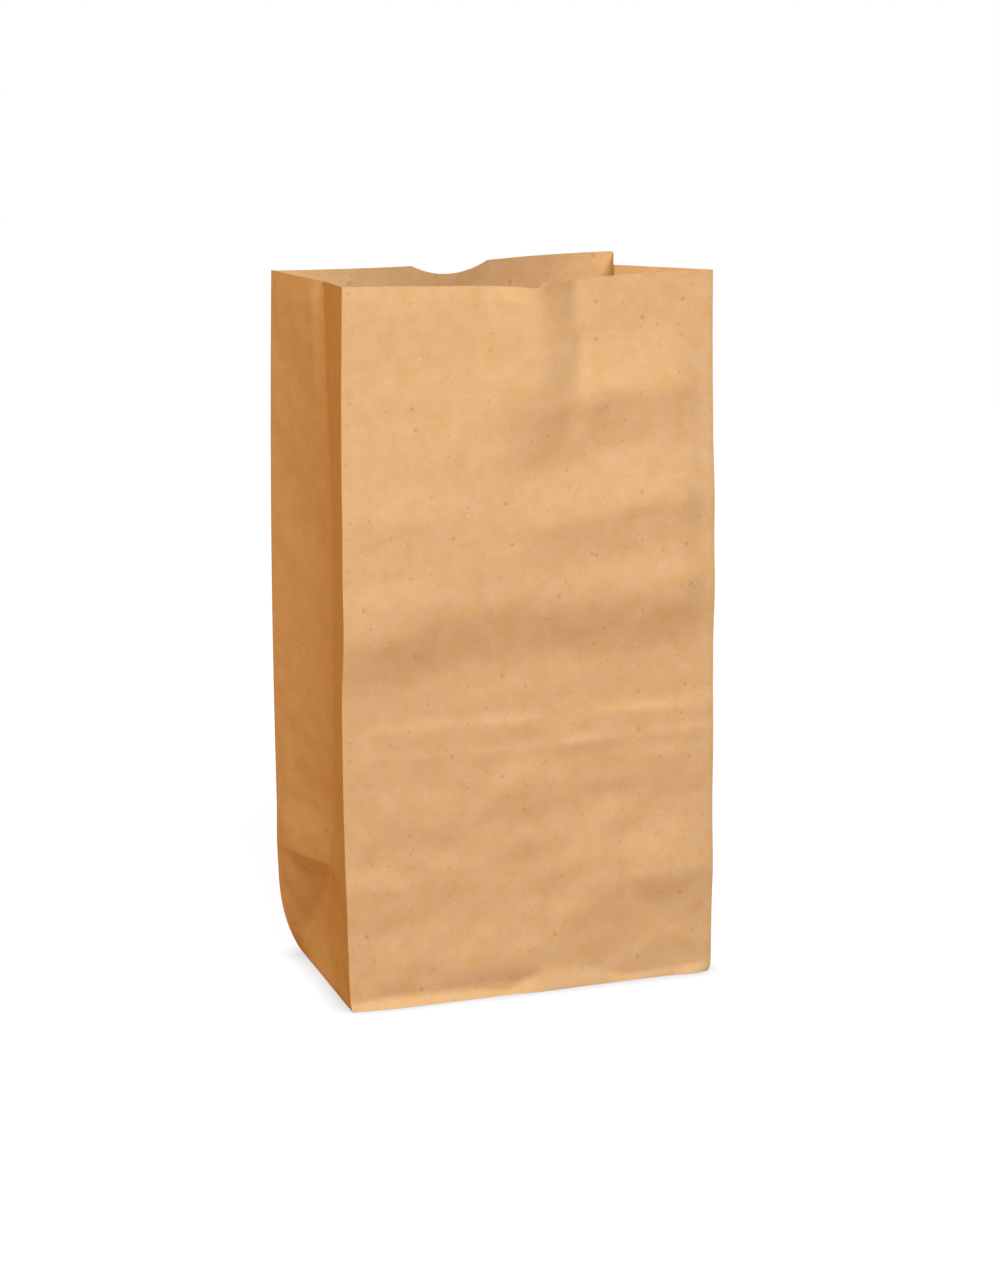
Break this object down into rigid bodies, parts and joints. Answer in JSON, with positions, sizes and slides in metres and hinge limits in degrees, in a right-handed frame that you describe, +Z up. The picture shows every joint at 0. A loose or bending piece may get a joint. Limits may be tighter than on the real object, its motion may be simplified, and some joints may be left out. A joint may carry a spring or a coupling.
{
  "type": "paper lunch bag",
  "caption": "Plain brown kraft paper lunch bag standing open, with side gussets, a folded flat base, a lapped back seam and a thumb notch in the back edge.",
  "frame": {"origin": "middle of the bag's box on the surface that it stands on", "axes": "+Z up through the mouth, -Y out of the front panel, +X to the right of the front panel"},
  "size_m": [0.1546, 0.0916, 0.281],
  "materials": {
    "kraft_paper": "matt unbleached kraft with fine dark flecks"
  },
  "bodies": {
    "root": {"paper_bag": "kraft_paper"}
  },
  "joints": []
}
